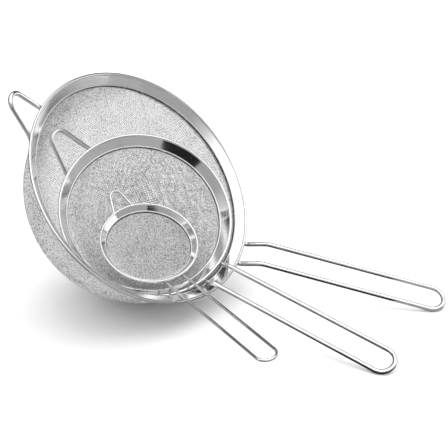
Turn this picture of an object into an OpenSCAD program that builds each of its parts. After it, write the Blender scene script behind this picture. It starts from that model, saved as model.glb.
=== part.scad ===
// Nested set of three stainless wire-mesh strainers.
// Each strainer is built about its own rim centre: +Z out of the opening,
// +X along the handle. place() then sets it down as it stands in the stack.
// The ground is z = 0 and every length is in millimetres.

/* [Large strainer] */
// Outer diameter of the rim
large_d = 200; // [150:1:260]
// Radial width of the funnel band
large_band_w = 8.9; // [5:0.1:15]
// Depth of the funnel band
large_band_h = 5.3; // [2:0.1:12]
// Height of the backing strip below the band
large_strip_h = 4; // [2:0.1:10]
// Height of the bowl sphere centre relative to the rim plane
large_bowl_z = -6.2; // [-15:0.1:10]
// Handle and hook wire diameter
large_wire = 3.8; // [2:0.1:6]
// Spacing of the two handle legs, centre to centre
large_leg_gap = 21; // [10:0.5:40]
// Rise angle of the handle next to the rim
large_rise = 55; // [0:1:70]
// Rise angle of the handle grip
large_grip_rise = 31.5; // [0:0.1:60]
// Distance of the handle bend from the rim centre
large_grip_x = 230.5; // [150:0.5:300]
// Height of the handle bend above the rim plane
large_grip_z = 85.6; // [0:0.1:150]
// Reach of the hook from the rolled edge to the middle of its tip
large_hook_l = 27.5; // [18:0.5:40]
// Half spacing of the hook legs at the rim
large_hook_w = 13.9; // [6:0.1:20]
// Rise angle of the hook
large_hook_rise = 23; // [0:1:45]
// Turn of the hook away from opposite the handle
large_hook_turn = 4.9; // [-20:0.1:20]

/* [Medium strainer] */
// Outer diameter of the rim
medium_d = 140; // [100:1:180]
// Radial width of the funnel band
medium_band_w = 8.4; // [5:0.1:15]
// Depth of the funnel band
medium_band_h = 6.8; // [2:0.1:12]
// Height of the backing strip below the band
medium_strip_h = 3.6; // [2:0.1:10]
// Height of the bowl sphere centre relative to the rim plane
medium_bowl_z = -0.6; // [-15:0.1:10]
// Handle and hook wire diameter
medium_wire = 3.6; // [2:0.1:6]
// Spacing of the two handle legs, centre to centre
medium_leg_gap = 20; // [10:0.5:40]
// Rise angle of the handle next to the rim
medium_rise = 54; // [0:1:70]
// Rise angle of the handle grip
medium_grip_rise = 27.6; // [0:0.1:60]
// Distance of the handle bend from the rim centre
medium_grip_x = 204; // [120:1:260]
// Height of the handle bend above the rim plane
medium_grip_z = 70.8; // [0:0.1:120]
// Reach of the hook from the rolled edge to the middle of its tip
medium_hook_l = 29.5; // [15:0.5:40]
// Half spacing of the hook legs at the rim
medium_hook_w = 14.6; // [6:0.1:20]
// Rise angle of the hook
medium_hook_rise = 28; // [0:1:45]
// Turn of the hook away from opposite the handle
medium_hook_turn = 2.6; // [-20:0.1:20]

/* [Small strainer] */
// Outer diameter of the rim
small_d = 79; // [60:1:110]
// Radial width of the funnel band
small_band_w = 5.5; // [4:0.1:12]
// Depth of the funnel band
small_band_h = 4; // [2:0.1:10]
// Height of the backing strip below the band
small_strip_h = 2.8; // [2:0.1:8]
// Height of the bowl sphere centre relative to the rim plane
small_bowl_z = -5.2; // [-15:0.1:10]
// Handle and hook wire diameter
small_wire = 2.2; // [1.5:0.1:5]
// Spacing of the two handle legs, centre to centre
small_leg_gap = 15.8; // [8:0.2:30]
// Rise angle of the handle next to the rim
small_rise = 33; // [0:1:70]
// Rise angle of the handle grip
small_grip_rise = 25; // [0:0.1:60]
// Distance of the handle bend from the rim centre
small_grip_x = 149.5; // [80:0.2:200]
// Height of the handle bend above the rim plane
small_grip_z = 51; // [0:0.1:90]
// Reach of the hook from the rolled edge to the middle of its tip
small_hook_l = 17.5; // [10:0.5:30]
// Half spacing of the hook legs at the rim
small_hook_w = 8.9; // [6:0.1:20]
// Rise angle of the hook
small_hook_rise = 20; // [0:1:45]
// Turn of the hook away from opposite the handle
small_hook_turn = 2.7; // [-20:0.1:20]

/* [Stack] */
// Turn of the large strainer's lean about the vertical
large_az = -39.8; // [-90:0.1:90]
// Lean of the large strainer from the vertical
large_tilt = 49.1; // [0:0.1:80]
// Turn of the large handle about its own rim axis
large_spin = 33.6; // [-180:0.1:180]
// Turn of the medium strainer's lean about the vertical
medium_az = -67.4; // [-90:0.1:90]
// Lean of the medium strainer from the vertical
medium_tilt = 45; // [0:0.1:80]
// Turn of the medium handle about its own rim axis
medium_spin = 35.6; // [-180:0.1:180]
// Turn of the small strainer's lean about the vertical
small_az = -70.3; // [-90:0.1:90]
// Lean of the small strainer from the vertical
small_tilt = 28.3; // [0:0.1:80]
// Turn of the small handle about its own rim axis
small_spin = 15.1; // [-180:0.1:180]

/* [Hidden] */
$fn = 96;
// Rolled edge radius, core wire radius and sheet thickness
edge_r = [1.2, 1.1, 0.9];
core_r = [0.7, 0.6, 0.5];
sheet_t = [0.6, 0.6, 0.5];
mesh_t = [0.6, 0.6, 0.5];
lip_r = [0.6, 0.6, 0.5];
tip_r = [7.8, 7.8, 5.1];
weld_len = [5, 4.4, 3];
knee_r = [16, 10, 8];

rim_r = [large_d / 2, medium_d / 2, small_d / 2];
band_w = [large_band_w, medium_band_w, small_band_w];
band_h = [large_band_h, medium_band_h, small_band_h];
strip_h = [large_strip_h, medium_strip_h, small_strip_h];
bowl_z = [large_bowl_z, medium_bowl_z, small_bowl_z];
wire_r = [large_wire / 2, medium_wire / 2, small_wire / 2];
leg_w = [large_leg_gap / 2, medium_leg_gap / 2, small_leg_gap / 2];
rise = [large_rise, medium_rise, small_rise];
grip_rise = [large_grip_rise, medium_grip_rise, small_grip_rise];
grip_x = [large_grip_x, medium_grip_x, small_grip_x];
grip_z = [large_grip_z, medium_grip_z, small_grip_z];
hook_reach = [large_hook_l, medium_hook_l, small_hook_l];
hook_w = [large_hook_w, medium_hook_w, small_hook_w];
hook_rise = [large_hook_rise, medium_hook_rise, small_hook_rise];
hook_turn = [large_hook_turn, medium_hook_turn, small_hook_turn];

// Rim centres; the large bowl just touches the ground at the origin.
mesh_r = [for (i = [0:2]) rim_r[i] - band_w[i] + mesh_t[i]];
join_z = [for (i = [0:2]) -band_h[i] - strip_h[i]];
bowl_r = [for (i = [0:2]) sqrt(pow(mesh_r[i], 2) + pow(join_z[i] - bowl_z[i], 2))];
// Inside radius of the straight neck, where the bowl's inner sphere reaches it.
neck_r = [for (i = [0:2]) sqrt(pow(bowl_r[i] - mesh_t[i], 2) - pow(join_z[i] - bowl_z[i], 2))];
large_at = [0, 0, bowl_r[0]] - bowl_z[0] * [sin(large_tilt) * cos(large_az),
  sin(large_tilt) * sin(large_az), cos(large_tilt)];
// Steps from the large rim centre down to the medium and the small one.
medium_step = [1.2, -6.7, -22.2];
small_step = [2.9, -12.1, -44.6];
spot = [large_at, large_at + medium_step, large_at + small_step];
turn = [[0, large_tilt, large_az], [0, medium_tilt, medium_az], [0, small_tilt, small_az]];
spin = [large_spin, medium_spin, small_spin];

// Edge and lip centres of the band line, and its slope.
edge_c = [for (i = [0:2]) [rim_r[i] - edge_r[i], 0]];
lip_c = [for (i = [0:2]) [rim_r[i] - band_w[i] + lip_r[i], -band_h[i]]];
slope = [for (i = [0:2]) atan2(band_h[i], edge_c[i][0] - lip_c[i][0])];
// The wires run under the band and clear of the rolled edge.
drop = [for (i = [0:2]) edge_r[i] + wire_r[i]];

module place(i) {
  translate(spot[i]) rotate(turn[i]) rotate([0, 0, spin[i]]) children();
}

// ---- rim sheet, edge wire, backing strip and mesh bowl ----

module band_2d(i) {
  a = edge_c[i];
  b = lip_c[i];
  n = [-sin(slope[i]), cos(slope[i])] * sheet_t[i] / 2;
  polygon([a + n, b + n, b - n, a - n]);
}

module rim_2d(i) {
  difference() {
    union() {
      translate(edge_c[i]) circle(r = edge_r[i], $fn = 32);
      translate(lip_c[i]) circle(r = lip_r[i], $fn = 24);
      band_2d(i);
    }
    translate(edge_c[i]) circle(r = core_r[i], $fn = 32);
  }
}

module rim(i) {
  rotate_extrude() rim_2d(i);
}

module edge_wire(i) {
  rotate_extrude() translate(edge_c[i]) circle(r = core_r[i], $fn = 32);
}

module backing_strip(i) {
  rotate_extrude() difference() {
    translate([mesh_r[i], join_z[i]]) square([sheet_t[i], strip_h[i]]);
    translate(lip_c[i]) circle(r = lip_r[i], $fn = 24);
    band_2d(i);
  }
}

module mesh_bowl(i) {
  rotate_extrude() union() {
    difference() {
      translate([neck_r[i], join_z[i]]) square([mesh_r[i] - neck_r[i], strip_h[i]]);
      translate(lip_c[i]) circle(r = lip_r[i], $fn = 24);
    }
    intersection() {
      translate([0, bowl_z[i]]) difference() {
        circle(r = bowl_r[i], $fn = 160);
        circle(r = bowl_r[i] - mesh_t[i], $fn = 160);
      }
      translate([0, join_z[i] - 2 * bowl_r[i]]) square([bowl_r[i], 2 * bowl_r[i]]);
    }
  }
}

// ---- bent wire ----

function heading(p, k) = atan2(p[k + 1][1] - p[k][1], p[k + 1][0] - p[k][0]);
function bend(p, k) = heading(p, k) - heading(p, k - 1);
function cut(p, q, k) = (k == 0 || k == len(p) - 1) ? 0 : q[k] * tan(abs(bend(p, k)) / 2);

// A round wire of radius r through the XZ points p, with corner radii q.
// Bends are swollen by a hair and the straights run a little way into them.
swell = 0.02;
lap = 0.15;
module straight(l, r) {
  rotate([0, 90, 0]) cylinder(h = l, r = r, $fn = 32);
}
module wire_xz(p, q, r, tail = 0) {
  rotate([90, 0, 0]) {
    for (k = [0 : len(p) - 2]) {
      a = heading(p, k);
      e = k == 0 ? 0 : lap;
      f = k == len(p) - 2 ? tail : lap;
      s = p[k] + [cos(a), sin(a)] * (cut(p, q, k) - e);
      l = norm(p[k + 1] - p[k]) - cut(p, q, k) - cut(p, q, k + 1) + e + f;
      translate([s[0], s[1], 0]) rotate([0, 0, a]) straight(l, r);
    }
    for (k = [1 : len(p) - 2]) {
      a = heading(p, k - 1);
      g = bend(p, k);
      w = g > 0 ? 1 : -1;
      t = p[k] - [cos(a), sin(a)] * cut(p, q, k);
      c = t + [-sin(a), cos(a)] * q[k] * w;
      translate([c[0], c[1], 0]) rotate([0, 0, g > 0 ? a - 90 : a + 90 + g])
        rotate_extrude(angle = abs(g)) translate([q[k], 0]) circle(r = r + swell, $fn = 32);
    }
  }
}

// ---- handle: two legs under the band, a knee, and a round end bend ----

// Point under the rolled edge, and the knee where the two rises meet.
// A leg runs on along the band's slope for a short foot, then turns up.
foot = 2;
foot_bend = 6;
function under(i) = edge_c[i] + drop[i] * [sin(slope[i]), -cos(slope[i])];
function knee(i) =
  let (b = under(i) + [foot, foot * tan(slope[i])], t1 = tan(rise[i]), t2 = tan(grip_rise[i]),
       x = (grip_z[i] - t2 * grip_x[i] - b[1] + t1 * b[0]) / (t1 - t2))
  [x, b[1] + t1 * (x - b[0])];
function leg_points(i) = [
  under(i) - weld_len[i] * [cos(slope[i]), sin(slope[i])],
  under(i) + [foot, foot * tan(slope[i])],
  knee(i),
  [grip_x[i], grip_z[i]]];

module handle(i) {
  for (s = [-1, 1]) translate([0, s * leg_w[i], 0])
    wire_xz(leg_points(i), [0, foot_bend, knee_r[i], 0], wire_r[i], lap);
  translate([grip_x[i], 0, grip_z[i]]) rotate([0, -grip_rise[i], 0]) rotate([0, 0, -90])
    rotate_extrude(angle = 180) translate([leg_w[i], 0])
      circle(r = wire_r[i] + swell, $fn = 32);
}

// ---- hook: two legs closing to a round tip, opposite the handle ----

// The legs lie in a plane that rises from just under the rolled edge.
hook_bend = 3;
hook_z = [for (i = [0:2]) -drop[i] / cos(hook_rise[i]) - 0.05];
hook_c = [for (i = [0:2]) hook_reach[i] - tip_r[i]];
hook_d = [for (i = [0:2]) norm([hook_c[i], hook_w[i]])];
hook_s = [for (i = [0:2]) sqrt(pow(hook_d[i], 2) - pow(tip_r[i], 2))];
// Angle of a leg within that plane, then its heading and its own rise.
hook_a = [for (i = [0:2]) atan2(-hook_w[i], hook_c[i]) + asin(tip_r[i] / hook_d[i])];
hook_h = [for (i = [0:2]) atan2(sin(hook_a[i]), cos(hook_a[i]) * cos(hook_rise[i]))];
hook_e = [for (i = [0:2]) asin(cos(hook_a[i]) * sin(hook_rise[i]))];

function hook_points(i) = [
  [-weld_len[i] * cos(slope[i]), hook_z[i] - weld_len[i] * sin(slope[i])],
  [0, hook_z[i]],
  [hook_s[i] * cos(hook_e[i]), hook_z[i] + hook_s[i] * sin(hook_e[i])]];

// The hook's side of the rim, and the two leg positions there.
module hook_side(i) {
  rotate([0, 0, hook_turn[i]]) mirror([1, 0, 0]) children();
}
module hook_legs(i) {
  for (m = [0, 1]) mirror([0, m, 0])
    translate([edge_c[i][0], hook_w[i], 0]) rotate([0, 0, hook_h[i]]) children();
}

module hook(i) {
  hook_side(i) {
    hook_legs(i) wire_xz(hook_points(i), [0, hook_bend, 0], wire_r[i], lap);
    translate([edge_c[i][0], 0, hook_z[i]]) rotate([0, -hook_rise[i], 0])
      translate([hook_c[i], 0, 0]) rotate([0, 0, -hook_a[i] - 90])
        rotate_extrude(angle = 180 + 2 * hook_a[i])
          translate([tip_r[i], 0]) circle(r = wire_r[i] + swell, $fn = 32);
  }
}

// ---- spot welds: short fillets between a wire and the band underside ----

module above_band(i) {
  a = edge_c[i];
  n = [sin(slope[i]), -cos(slope[i])] * sheet_t[i] / 2;
  u = [cos(slope[i]), sin(slope[i])];
  rotate_extrude() union() {
    polygon([a + n + 3 * u, a + n - 20 * u, a + n - 20 * u + [0, 12], a + n + 3 * u + [0, 12]]);
    translate(a) circle(r = edge_r[i], $fn = 32);
  }
}

// One nugget beside the first straight of a wire that starts at XZ point p:
// how far along the weld it sits, its rise against the edge, and its extra radius.
nugget_at = 0.4;
nugget_rise = 0.95;
nugget_swell = 0.4;
module nugget(i, p) {
  translate([p[0], 0, p[1]]) rotate([0, -slope[i], 0]) difference() {
    translate([nugget_at * weld_len[i], 0, nugget_rise * edge_r[i]])
      sphere(r = wire_r[i] + nugget_swell, $fn = 32);
    translate([-2, 0, 0]) straight(weld_len[i] + 4, wire_r[i] + swell);
  }
}

module handle_welds(i) {
  difference() {
    for (s = [-1, 1]) translate([0, s * leg_w[i], 0]) nugget(i, leg_points(i)[0]);
    above_band(i);
  }
}

module hook_welds(i) {
  difference() {
    hook_side(i) hook_legs(i) nugget(i, hook_points(i)[0]);
    above_band(i);
  }
}

// ---- nodes ----

polished = [0.82, 0.83, 0.84];
drawn_wire = [0.8, 0.8, 0.82];
core_steel = [0.7, 0.7, 0.72];
strip_steel = [0.7, 0.71, 0.72];
cloth = [0.6, 0.61, 0.62];
weld_grey = [0.55, 0.55, 0.56];

module large_rim() { color(polished) place(0) rim(0); }
module large_edge_wire() { color(core_steel) place(0) edge_wire(0); }
module large_backing_strip() { color(strip_steel) place(0) backing_strip(0); }
module large_mesh() { color(cloth) place(0) mesh_bowl(0); }
module large_handle() { color(drawn_wire) place(0) handle(0); }
module large_handle_welds() { color(weld_grey) place(0) handle_welds(0); }
module large_hook() { color(drawn_wire) place(0) hook(0); }
module large_hook_welds() { color(weld_grey) place(0) hook_welds(0); }
module medium_rim() { color(polished) place(1) rim(1); }
module medium_edge_wire() { color(core_steel) place(1) edge_wire(1); }
module medium_backing_strip() { color(strip_steel) place(1) backing_strip(1); }
module medium_mesh() { color(cloth) place(1) mesh_bowl(1); }
module medium_handle() { color(drawn_wire) place(1) handle(1); }
module medium_handle_welds() { color(weld_grey) place(1) handle_welds(1); }
module medium_hook() { color(drawn_wire) place(1) hook(1); }
module medium_hook_welds() { color(weld_grey) place(1) hook_welds(1); }
module small_rim() { color(polished) place(2) rim(2); }
module small_edge_wire() { color(core_steel) place(2) edge_wire(2); }
module small_backing_strip() { color(strip_steel) place(2) backing_strip(2); }
module small_mesh() { color(cloth) place(2) mesh_bowl(2); }
module small_handle() { color(drawn_wire) place(2) handle(2); }
module small_handle_welds() { color(weld_grey) place(2) handle_welds(2); }
module small_hook() { color(drawn_wire) place(2) hook(2); }
module small_hook_welds() { color(weld_grey) place(2) hook_welds(2); }

large_rim();
large_edge_wire();
large_backing_strip();
large_mesh();
large_handle();
large_handle_welds();
large_hook();
large_hook_welds();
medium_rim();
medium_edge_wire();
medium_backing_strip();
medium_mesh();
medium_handle();
medium_handle_welds();
medium_hook();
medium_hook_welds();
small_rim();
small_edge_wire();
small_backing_strip();
small_mesh();
small_handle();
small_handle_welds();
small_hook();
small_hook_welds();
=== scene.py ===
"""Looks for a nested set of three wire-mesh strainers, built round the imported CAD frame."""
import bpy
import math
import numpy as np
from mathutils import Matrix, Vector


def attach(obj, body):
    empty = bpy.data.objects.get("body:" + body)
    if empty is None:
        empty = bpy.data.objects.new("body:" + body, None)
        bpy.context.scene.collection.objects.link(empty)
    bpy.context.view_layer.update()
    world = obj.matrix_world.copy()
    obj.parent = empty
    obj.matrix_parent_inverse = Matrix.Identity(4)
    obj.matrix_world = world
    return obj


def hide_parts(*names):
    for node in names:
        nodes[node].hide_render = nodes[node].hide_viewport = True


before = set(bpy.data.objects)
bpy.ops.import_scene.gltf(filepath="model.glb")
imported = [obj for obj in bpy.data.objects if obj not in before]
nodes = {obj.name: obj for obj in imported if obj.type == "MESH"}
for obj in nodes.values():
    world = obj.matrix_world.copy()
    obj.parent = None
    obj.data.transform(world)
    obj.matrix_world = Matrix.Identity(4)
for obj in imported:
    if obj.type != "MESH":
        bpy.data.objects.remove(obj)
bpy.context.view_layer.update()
MM = 0.001

# ---- the three strainers, with the part's own dimensions (millimetres, degrees) ----
# d: rim diameter; band_w, band_h, strip: band width, band depth and strip height; bowl: height of
# the bowl's centre; t: sheet thickness; az, tilt, spin: how the rim stands; off: step from the
# large rim centre. pitch, wire and weave: the woven cloth's spacing, wire diameter and turn.
SETS = {
    "large": dict(d=200, band_w=8.9, band_h=5.3, strip=4.0, bowl=-6.2, t=0.6,
                  az=-39.8, tilt=49.1, spin=33.6, off=(0, 0, 0),
                  pitch=1.7, wire=0.64, weave=12, cloth_metallic=0.5),
    "medium": dict(d=140, band_w=8.4, band_h=6.8, strip=3.6, bowl=-0.6, t=0.6,
                   az=-67.4, tilt=45.0, spin=35.6, off=(1.2, -6.7, -22.2),
                   pitch=1.45, wire=0.62, weave=30, cloth_metallic=0.12),
    "small": dict(d=79, band_w=5.5, band_h=4.0, strip=2.8, bowl=-5.2, t=0.5,
                  az=-70.3, tilt=28.3, spin=15.1, off=(2.9, -12.1, -44.6),
                  pitch=1.4, wire=0.6, weave=20, cloth_metallic=0.15),
}


def turn(degrees, axis):
    return Matrix.Rotation(math.radians(degrees), 3, axis)


for s in SETS.values():
    s["mesh_r"] = s["d"] / 2 - s["band_w"] + s["t"]            # outside of the straight neck
    s["join"] = -s["band_h"] - s["strip"]                      # where neck and bowl meet
    s["R"] = math.hypot(s["mesh_r"], s["join"] - s["bowl"])    # outside radius of the bowl
    s["rot"] = turn(s["az"], "Z") @ turn(s["tilt"], "Y") @ turn(s["spin"], "Z")
big = SETS["large"]
# The large bowl touches the floor at the origin.
home = Vector((0, 0, big["R"])) - big["bowl"] * big["rot"].col[2]
for s in SETS.values():
    s["at"] = home + Vector(s["off"])


def to_world(s, points):
    """Points about a strainer's rim centre, in millimetres, to the frame, in metres."""
    return (points @ np.array(s["rot"]).T + np.array(s["at"])) * MM


# ---- shader node helpers ----
def add(tree, kind, **props):
    n = tree.nodes.new(kind)
    for k, v in props.items():
        setattr(n, k, v)
    return n


def feed(tree, value, socket):
    """Link an output to an input socket, or set the socket to a plain value."""
    if isinstance(value, bpy.types.NodeSocket):
        tree.links.new(value, socket)
    else:
        socket.default_value = value


def grey(level):
    return (level, level, level, 1)


def maths(tree, operation, *values):
    n = add(tree, "ShaderNodeMath", operation=operation)
    for value, socket in zip(values, n.inputs):
        feed(tree, value, socket)
    return n.outputs[0]


def scaled(tree, value, by, plus):
    """value * by + plus, where plus may be a number or another output."""
    return maths(tree, "ADD", maths(tree, "MULTIPLY", value, by), plus)


def ramp(tree, fac, stops):
    n = add(tree, "ShaderNodeValToRGB")
    e = n.color_ramp.elements
    while len(e) < len(stops):
        e.new(0.5)
    for k, (position, level) in enumerate(stops):
        e[k].position = position
        e[k].color = grey(level)
    feed(tree, fac, n.inputs[0])
    return n.outputs[0]


def mix(tree, fac, a, b):
    n = add(tree, "ShaderNodeMix", data_type="RGBA")
    feed(tree, fac, n.inputs["Factor"])
    for name, value in (("A", a), ("B", b)):
        feed(tree, value, next(q for q in n.inputs if q.name == name and q.type == "RGBA"))
    return next(q for q in n.outputs if q.type == "RGBA")


def separated(tree, vector):
    n = add(tree, "ShaderNodeSeparateXYZ")
    feed(tree, vector, n.inputs[0])
    return n.outputs


def noise(tree, vector, scale, detail):
    n = add(tree, "ShaderNodeTexNoise")
    n.inputs["Scale"].default_value = scale
    n.inputs["Detail"].default_value = detail
    feed(tree, vector, n.inputs["Vector"])
    return n.outputs["Fac"]


def smudge(tree, scale, detail=3.0):
    return noise(tree, add(tree, "ShaderNodeTexCoord").outputs["Object"], scale, detail)


def bump(tree, shader, height, distance, strength):
    n = add(tree, "ShaderNodeBump")
    n.inputs["Distance"].default_value = distance
    n.inputs["Strength"].default_value = strength
    feed(tree, height, n.inputs["Height"])
    feed(tree, n.outputs[0], shader.inputs["Normal"])


def turned_lines(tree, s, across, along):
    """Noise drawn out round the rim, as a turning or polishing mark is."""
    local = add(tree, "ShaderNodeMapping", vector_type="TEXTURE")
    local.inputs["Location"].default_value = s["at"] * MM
    local.inputs["Rotation"].default_value = s["rot"].to_euler("XYZ")
    feed(tree, add(tree, "ShaderNodeTexCoord").outputs["Object"], local.inputs["Vector"])
    x, y, z = separated(tree, local.outputs["Vector"])
    radius = maths(tree, "SQRT", maths(tree, "ADD", maths(tree, "MULTIPLY", x, x),
                                       maths(tree, "MULTIPLY", y, y)))
    polar = add(tree, "ShaderNodeCombineXYZ")
    feed(tree, maths(tree, "MULTIPLY", radius, across), polar.inputs[0])
    feed(tree, maths(tree, "MULTIPLY", maths(tree, "ARCTAN2", y, x), along), polar.inputs[1])
    feed(tree, maths(tree, "MULTIPLY", z, across), polar.inputs[2])
    return noise(tree, polar.outputs[0], 1.0, 4.0)


# ---- materials ----
FINE_BUMP = 0.00002     # depth of polishing marks, in metres
WELD_BUMP = 0.0001


def new_material(name, base, metallic, rough):
    m = bpy.data.materials.new(name)
    m.use_nodes = True
    shader = m.node_tree.nodes["Principled BSDF"]
    shader.inputs["Base Color"].default_value = (*base, 1)
    shader.inputs["Metallic"].default_value = metallic
    shader.inputs["Roughness"].default_value = rough
    return m, m.node_tree, shader


def sheet_material(name, s):
    """Polished sheet steel, with faint marks round the rim and soft smudges."""
    m, tree, shader = new_material(name, (0.86, 0.86, 0.865), 1.0, 0.16)
    lines = turned_lines(tree, s, across=2600, along=5)
    feed(tree, ramp(tree, lines, [(0.3, 0.80), (0.7, 0.9)]), shader.inputs["Base Color"])
    worn = maths(tree, "MULTIPLY", smudge(tree, 60), 0.09)
    feed(tree, scaled(tree, lines, 0.07, worn), shader.inputs["Roughness"])
    bump(tree, shader, lines, FINE_BUMP, 0.35)
    return m


def wire_material(name):
    """Polished round wire, a little duller where it is handled."""
    m, tree, shader = new_material(name, (0.82, 0.82, 0.83), 1.0, 0.12)
    wear = smudge(tree, 90)
    feed(tree, ramp(tree, wear, [(0.3, 0.76), (0.7, 0.88)]), shader.inputs["Base Color"])
    feed(tree, scaled(tree, wear, 0.12, 0.06), shader.inputs["Roughness"])
    bump(tree, shader, smudge(tree, 1400, 2), FINE_BUMP, 0.2)
    return m


def cloth_material(name, metallic):
    """Bright fine wire, speckled from knuckle to knuckle."""
    m, tree, shader = new_material(name, (0.62, 0.62, 0.62), metallic, 0.3)
    wear = smudge(tree, 45)
    fine = smudge(tree, 1400, 0)
    tone = scaled(tree, wear, 0.15, maths(tree, "MULTIPLY", fine, 0.85))
    speckle = ramp(tree, tone, [(0.38, 0.14), (0.47, 0.97), (0.56, 1.0)])
    feed(tree, speckle, shader.inputs["Base Color"])
    feed(tree, scaled(tree, fine, 0.2, 0.3), shader.inputs["Roughness"])
    return m


def weld_material(name):
    """Dull, grainy spot weld."""
    m, tree, shader = new_material(name, (0.5, 0.5, 0.51), 1.0, 0.35)
    grain = smudge(tree, 900, 4)
    feed(tree, ramp(tree, grain, [(0.3, 0.36), (0.7, 0.62)]), shader.inputs["Base Color"])
    feed(tree, scaled(tree, grain, 0.4, 0.2), shader.inputs["Roughness"])
    bump(tree, shader, grain, WELD_BUMP, 0.5)
    return m


def lip_shadow_material(name):
    """Painted shadow: a near-black line under a lip, standing in for the shade in the gap between
    lip and cloth.
    """
    m, tree, shader = new_material(name, (0.05, 0.05, 0.05), 1.0, 0.4)
    # painted shadow: near-black colour standing in for the shade in the gap under the lip
    dark = ramp(tree, smudge(tree, 300), [(0.3, 0.02), (0.7, 0.10)])
    feed(tree, dark, shader.inputs["Base Color"])
    return m


def put(obj, m):
    obj.data.materials.clear()
    obj.data.materials.append(m)


wire_mat = wire_material("polished_wire")
weld_mat = weld_material("weld")
# material for the painted shadow line under each lip
lip_shadow_mat = lip_shadow_material("lip_shadow")
for key, s in SETS.items():
    put(nodes[key + "_rim"], sheet_material(key + "_sheet", s))
    put(nodes[key + "_backing_strip"], sheet_material(key + "_strip", s))
    for part in ("_edge_wire", "_handle", "_hook"):
        put(nodes[key + part], wire_mat)
    for part in ("_handle_welds", "_hook_welds"):
        put(nodes[key + part], weld_mat)


# ---- woven wire cloth ----
LINE_HEIGHT = 1.7         # of the point that all the wire planes pass through, in bowl radii
SWING = 0.42              # how far a wire swings over or under, in wire diameters
EASE = 0.25               # angle below the neck over which the cloth eases inward, in radians
SHORT_OF_LIP = 0.1        # the wires stop this far short of the strip's top, in millimetres
SHORTEST = 4              # crossings in the shortest wire that is kept
DRIFT = (0.22, 0.2)       # how far the wires wander, in pitches


def drift(a, b, a1, b1, a2, b2):
    """The smooth wander of a wire of pressed cloth; a1 to b2 are its wave lengths."""
    return DRIFT[0] * np.sin(a / a1 + b / b1) + DRIFT[1] * np.sin(a / a2 + b / b2)


def crossings(s):
    """Where the wires cross on neck and bowl: positions, normals, and which are on the cloth."""
    R = s["R"] - s["t"] / 2
    neck = s["mesh_r"] - s["t"] / 2
    join = math.asin((s["join"] - s["bowl"]) / s["R"])
    top = LINE_HEIGHT * R
    n = int(R * (top + R) / top / s["pitch"])
    grid = np.arange(-n, n + 1) * s["pitch"]
    u, v = np.meshgrid(grid, grid, indexing="ij")
    u, v = (u + s["pitch"] * drift(v, u, 5.3, 17, 11.9, -7.1),
            v + s["pitch"] * drift(u, v, 4.7, -15, 13.1, 8.3))
    # Lines from the shared point to the grid on a plane under the bowl, cut by the sphere.
    q = u * u + v * v + (top + R) ** 2
    disc = (top * (top + R)) ** 2 - q * (top ** 2 - R ** 2)
    ok = disc > 0
    w = (top * (top + R) + np.sqrt(np.where(ok, disc, 0))) / q
    x, y, z = u * w, v * w, top - w * (top + R)
    lat = np.arcsin(np.clip(z / R, -1, 1))
    past = R * (lat - join)               # how far up the neck, where positive
    ok &= past < s["strip"] - SHORT_OF_LIP
    az = np.arctan2(y, x)
    on = past > 0
    # Below the neck the cloth eases inward, so that its outermost wires lie on the bowl's sphere.
    ball = R - ((SWING + 0.5) * s["wire"] - s["t"] / 2) * np.clip((join - lat) / EASE, 0, 1)
    rad = np.where(on, neck, ball * np.cos(lat))
    height = np.where(on, s["join"] + past, s["bowl"] + ball * np.sin(lat))
    out = np.where(on, 1.0, np.cos(lat))
    rise = np.where(on, 0.0, np.sin(lat))
    c, sn = np.cos(az), np.sin(az)
    return np.stack([rad * c, rad * sn, height], -1), np.stack([out * c, out * sn, rise], -1), ok


def woven(s, weft):
    """The warp or the weft wires: four-sided tubes, passing over and under the other set."""
    pos, nor, ok = crossings(s)
    i, j = np.indices(ok.shape)
    over = np.where((i + j) % 2 == 0, 1.0, -1.0) * (-1 if weft else 1)
    pos = pos + nor * (over * s["wire"] * SWING)[..., None]
    if weft:
        pos, nor, ok = pos.transpose(1, 0, 2), nor.transpose(1, 0, 2), ok.T
    r = s["wire"] / 2
    side = np.arange(4)[None, :]
    after = (side + 1) % 4
    verts, quads, base = [], [], 0
    for k in range(len(ok)):
        run = np.nonzero(ok[k])[0]
        if len(run) < SHORTEST:
            continue
        p, m = pos[k, run], nor[k, run]
        t = np.gradient(p, axis=0)
        t /= np.linalg.norm(t, axis=1, keepdims=True)
        b = np.cross(t, m)
        b /= np.linalg.norm(b, axis=1, keepdims=True)
        m = np.cross(b, t)
        ring = np.stack([p + r * (ca * m + sa * b)
                         for ca, sa in ((1, 0), (0, 1), (-1, 0), (0, -1))], 1)
        verts.append(ring.reshape(-1, 3))
        a = base + 4 * np.arange(len(run) - 1)[:, None]
        quads.append(np.stack([a + side, a + after, a + 4 + after, a + 4 + side],
                              -1).reshape(-1, 4))
        quads.append(np.array([[base + 3, base + 2, base + 1, base]]))
        last = base + 4 * (len(run) - 1)
        quads.append(np.array([[last, last + 1, last + 2, last + 3]]))
        base += 4 * len(run)
    points = np.concatenate(verts) @ np.array(turn(s["weave"], "Z")).T
    return to_world(s, points), np.concatenate(quads)


def mesh_object(name, points, quads):
    me = bpy.data.meshes.new(name)
    me.vertices.add(len(points))
    me.vertices.foreach_set("co", points.astype(np.float32).ravel())
    me.loops.add(quads.size)
    me.loops.foreach_set("vertex_index", quads.astype(np.int32).ravel())
    me.polygons.add(len(quads))
    me.polygons.foreach_set("loop_start", np.arange(0, quads.size, 4, dtype=np.int32))
    me.polygons.foreach_set("use_smooth", np.ones(len(quads), dtype=bool))
    me.update(calc_edges=True)
    ob = bpy.data.objects.new(name, me)
    bpy.context.scene.collection.objects.link(ob)
    return ob


for key, s in SETS.items():
    cloth_mat = cloth_material(key + "_cloth", s["cloth_metallic"])
    for word in ("warp", "weft"):
        ob = mesh_object(f"{key}_{word}", *woven(s, word == "weft"))
        put(ob, cloth_mat)
        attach(ob, key + "_strainer")
        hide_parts(key + "_mesh")
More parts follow.
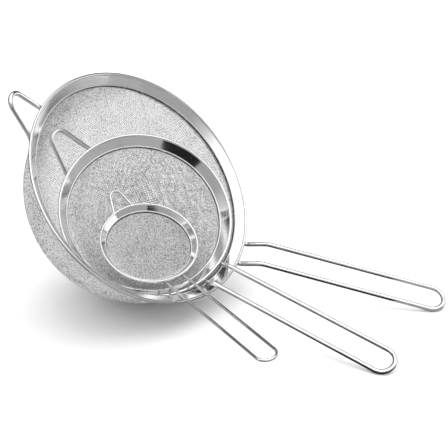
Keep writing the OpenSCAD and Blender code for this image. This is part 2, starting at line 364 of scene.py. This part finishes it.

# ---- painted shadow: a near-black ring where the cloth goes in under the lip ----
LIP_SHADOW_R = 0.45            # thickness of the line, as the radius of a thin ring, in millimetres
LIP_SHADOW_DROP = 1.0          # how far it lies below the lip
LIP_SHADOW_IN = 0.02           # how far its centre stands in from the neck
AROUND, ACROSS = 240, 8   # faces round the ring and round its section


def lip_shadow_ring(s):
    a = np.linspace(0, 2 * np.pi, AROUND, endpoint=False)[:, None]
    c = np.linspace(0, 2 * np.pi, ACROSS, endpoint=False)[None, :]
    rad = s["mesh_r"] - s["t"] - LIP_SHADOW_IN + LIP_SHADOW_R * np.cos(c)
    height = -s["band_h"] - LIP_SHADOW_DROP + LIP_SHADOW_R * np.sin(c) + 0 * a
    points = np.stack([rad * np.cos(a), rad * np.sin(a), height], -1).reshape(-1, 3)
    k, q = np.meshgrid(np.arange(AROUND), np.arange(ACROSS), indexing="ij")
    k2, q2 = (k + 1) % AROUND, (q + 1) % ACROSS
    corners = [i * ACROSS + j for i, j in ((k, q), (k2, q), (k2, q2), (k, q2))]
    return to_world(s, points), np.stack(corners, -1).reshape(-1, 4)


# painted shadow: a thin near-black ring under each lip, where there is only shade
for key, s in SETS.items():
    ob = mesh_object(key + "_lip_shadow", *lip_shadow_ring(s))
    put(ob, lip_shadow_mat)
    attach(ob, key + "_strainer")

# ---- floor ----
FLOOR_SIZE = 40
FLOOR_GREY = 0.81
scene = bpy.context.scene
bpy.ops.mesh.primitive_plane_add(size=FLOOR_SIZE)
floor = bpy.context.object
floor.name = "floor"
floor_mat, tree, shader = new_material("pale_floor", (FLOOR_GREY,) * 3, 0.0, 0.7)
# Reflections see a greyer floor than the overexposed one that the camera sees.
floor_y = separated(tree, add(tree, "ShaderNodeTexCoord").outputs["Object"])[1]
glossy = add(tree, "ShaderNodeLightPath").outputs["Is Glossy Ray"]
seen = mix(tree, glossy, grey(FLOOR_GREY), ramp(tree, floor_y, [(0.05, 0.24), (0.4, 0.05)]))
feed(tree, seen, shader.inputs["Base Color"])
put(floor, floor_mat)

# ---- world: even light, and for reflections a studio that is bright above and in front ----
SKY_STRENGTH = 1.5
SKY_GREY = 0.9
world = bpy.data.worlds.new("studio")
scene.world = world
world.use_nodes = True
tree = world.node_tree
sky = tree.nodes["Background"]
sky.inputs["Strength"].default_value = SKY_STRENGTH
_, toward_back, upward = separated(tree, add(tree, "ShaderNodeTexCoord").outputs["Generated"])
front = ramp(tree, upward, [(0.0, 0.27), (0.35, 0.27), (0.5, 0.45), (0.68, 1.0)])
back = ramp(tree, upward, [(0.0, 0.02), (0.5, 0.04), (0.75, 0.12), (0.9, 1.0)])
backness = maths(tree, "MULTIPLY_ADD", toward_back, 0.5, 0.5)
studio = mix(tree, ramp(tree, backness, [(0.45, 0.0), (0.68, 1.0)]), front, back)
glossy = add(tree, "ShaderNodeLightPath").outputs["Is Glossy Ray"]
feed(tree, mix(tree, glossy, grey(SKY_GREY), studio), sky.inputs["Color"])

# ---- one broad overhead light ----
sun = bpy.data.objects.new("overhead", bpy.data.lights.new("overhead", "SUN"))
scene.collection.objects.link(sun)
sun.data.energy = 1.35
sun.data.angle = math.radians(75)
sun.visible_glossy = False
sun.rotation_euler = Vector((-0.22, -0.3, -1)).to_track_quat("-Z", "Y").to_euler()


# ---- studio cards ----
def card(name, corner, along, rise, level):
    """A card that only shows in reflections, to shape the highlights on the polished steel."""
    a, b, c = Vector(corner), Vector(along), Vector(rise)
    me = bpy.data.meshes.new(name)
    me.from_pydata([a, a + b, a + b + c, a + c], [], [(0, 1, 2, 3)])
    ob = bpy.data.objects.new(name, me)
    scene.collection.objects.link(ob)
    m = bpy.data.materials.new(name)
    m.use_nodes = True
    m.node_tree.nodes.clear()
    glow = add(m.node_tree, "ShaderNodeEmission")
    glow.inputs["Color"].default_value = grey(level)
    out = add(m.node_tree, "ShaderNodeOutputMaterial")
    feed(m.node_tree, glow.outputs[0], out.inputs[0])
    me.materials.append(m)
    for ray in ("camera", "diffuse", "shadow", "transmission"):
        setattr(ob, "visible_" + ray, False)


card("front_flag", (-0.2, -0.38, 0), (0.25, 0, 0), (0, 0, 0.17), 0.015)
card("front_flag_2", (0.05, -0.38, 0.12), (0.07, 0, 0), (0, 0, 0.05), 0.03)
card("back_flag", (-1.3, 1.25, 0), (1.75, 0, 0), (0, 0, 0.5), 0.03)
card("right_card", (1.3, -0.3, 0), (-0.85, 1.55, 0), (0, 0, 0.42), 1.5)
card("left_flag", (-1.05, -0.3, 0.4), (0, 0.6, 0), (0, 0, 0.8), 0.03)
card("left_back_flag", (-1.1, 0.75, 0.42), (0.6, 0.4, 0), (0, 0, 0.42), 0.03)
card("under_flag", (0.07, -0.17, 0.0005), (0.13, 0, 0), (0, 0.2, 0), 0.02)

# ---- camera ----
CAMERA_AT = (0.06578, -0.73361, 0.3911)
CAMERA_PITCH = 65.7       # degrees up from straight down
cam = bpy.data.objects.new("camera", bpy.data.cameras.new("camera"))
scene.collection.objects.link(cam)
cam.location = CAMERA_AT
cam.rotation_euler = (math.radians(CAMERA_PITCH), 0, 0)
cam.data.lens = 80.36
cam.data.sensor_width = 36
cam.data.clip_end = 60
scene.camera = cam
scene.view_settings.view_transform = "Standard"
